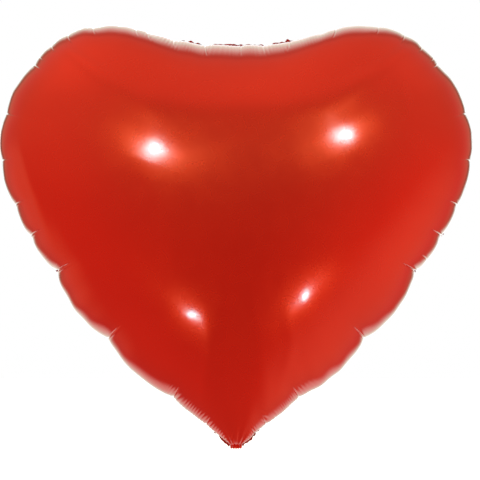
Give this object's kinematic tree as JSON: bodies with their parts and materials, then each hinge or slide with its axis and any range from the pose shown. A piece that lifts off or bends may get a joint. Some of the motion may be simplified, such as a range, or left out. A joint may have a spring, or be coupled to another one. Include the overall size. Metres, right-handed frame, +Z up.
{
  "type": "foil balloon",
  "caption": "Inflated heart-shaped foil balloon: front and rear film sealed round the rim, with a flat valve tail at the tip that folds up behind.",
  "frame": {"origin": "middle of the fold line of the tail, at the lowest point of the heart's tip", "axes": "+Z up the heart from its tip to its lobes, -Y out of the front film, +X to the right as seen from the front"},
  "size_m": [0.5, 0.2508, 0.449],
  "materials": {
    "foil": "mirror-bright metallised polyester film with a transparent red lacquer",
    "weld": "heat-sealed red metallised film, finely crimped",
    "valve_film": "clear polyethylene film",
    "release_coat": "matt printed heat-resistant coat"
  },
  "bodies": {
    "balloon": {"front_panel": "foil", "rear_panel": "foil", "perimeter_seal": "weld", "tail_fold": "foil", "inner_valve_front_film": "valve_film", "inner_valve_rear_film": "valve_film", "inner_valve_side_seals": "valve_film", "inner_release_coat": "release_coat"},
    "tail": {"tail_front_film": "foil", "tail_rear_film": "foil", "tail_side_seals": "weld", "tail_valve_front_film": "valve_film", "tail_valve_rear_film": "valve_film", "tail_valve_side_seals": "valve_film", "tail_release_coat": "release_coat", "valve_tack_seals": "weld"}
  },
  "joints": [
    {"name": "tail_fold_hinge", "type": "hinge", "parent": "balloon", "child": "tail", "pos_m": [0, 0, 0], "axis": [-1, 0, 0], "range_deg": [0, 165]}
  ]
}
